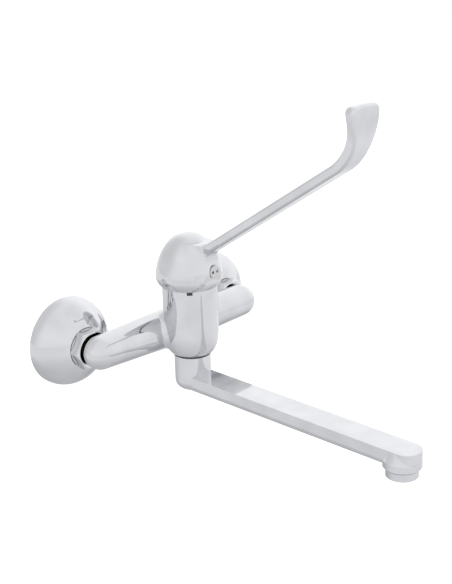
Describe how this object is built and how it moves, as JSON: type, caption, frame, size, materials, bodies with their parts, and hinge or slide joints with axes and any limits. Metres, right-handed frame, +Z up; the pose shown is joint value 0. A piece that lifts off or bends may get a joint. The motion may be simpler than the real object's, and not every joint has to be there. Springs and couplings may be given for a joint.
{
  "type": "mixer tap",
  "caption": "Wall-mounted lever mixer tap: armed body on eccentric unions with domed wall flanges, domed lever cap with an upturned paddle, and a long swivelling spout.",
  "frame": {"origin": "in the finished wall's plane, midway between the axes of the wall threads", "axes": "+Y into the wall along the threads, -Y to the user, +Z up, +X to the right as the user sees it"},
  "size_m": [0.2196, 0.2975, 0.2518],
  "materials": {
    "polished_chrome": "polished chrome plate",
    "brass": "machined",
    "stainless_steel": "drawn and woven",
    "black_rubber": "moulded",
    "ceramic": "lapped ceramic",
    "white_acetal": "moulded",
    "dark_plastic": "moulded",
    "grey_plastic": "metallised moulding",
    "red_plastic": "moulded",
    "blue_plastic": "moulded"
  },
  "bodies": {
    "body": {"mixer_body": "polished_chrome", "cartridge_base": "white_acetal", "base_seals": "black_rubber", "disc_seals": "black_rubber", "fixed_disc": "ceramic", "cartridge_housing": "white_acetal", "clamping_ring": "brass", "trim_dome": "polished_chrome", "spout_nipple": "brass", "spout_o_rings": "black_rubber", "glide_washer": "dark_plastic", "s_union_left": "brass", "wall_flange_left": "polished_chrome", "union_nut_left": "polished_chrome", "inlet_nipple_left": "brass", "inlet_washer_left": "black_rubber", "inlet_strainer_left": "stainless_steel", "s_union_right": "brass", "wall_flange_right": "polished_chrome", "union_nut_right": "polished_chrome", "inlet_nipple_right": "brass", "inlet_washer_right": "black_rubber", "inlet_strainer_right": "stainless_steel"},
    "carrier": {"lever_carrier": "white_acetal", "pivot_pin": "stainless_steel"},
    "lever": {"lever_handle": "polished_chrome", "spindle": "brass", "set_screw": "stainless_steel", "index_plug": "grey_plastic", "hot_mark": "red_plastic", "cold_mark": "blue_plastic"},
    "slider": {"moving_disc": "ceramic", "disc_coupler": "white_acetal"},
    "spout": {"spout": "polished_chrome", "spout_collar": "polished_chrome", "retaining_screw": "stainless_steel", "aerator_gasket": "black_rubber", "aerator_housing": "polished_chrome", "aerator_insert": "white_acetal", "aerator_screen": "stainless_steel"}
  },
  "joints": [
    {"name": "temperature_turn", "type": "hinge", "parent": "body", "child": "carrier", "pos_m": [0, -0.06175, 0.0415], "axis": [0, 0, 1], "range_deg": [-50, 50]},
    {"name": "flow_tilt", "type": "hinge", "parent": "carrier", "child": "lever", "pos_m": [0, -0.06175, 0.0415], "axis": [-1, 0, 0], "range_deg": [0, 25]},
    {"name": "disc_slide", "type": "slide", "parent": "carrier", "child": "slider", "axis": [0, -1, 0], "range_m": [0, 0.0033]},
    {"name": "spout_swivel", "type": "hinge", "parent": "body", "child": "spout", "pos_m": [0, -0.06175, -0.0139], "axis": [0, 0, 1], "range_deg": [-100, 100]}
  ],
  "couplings": [
    {"joint": "disc_slide", "follows": "flow_tilt", "m_per_rad": 0.0074}
  ]
}
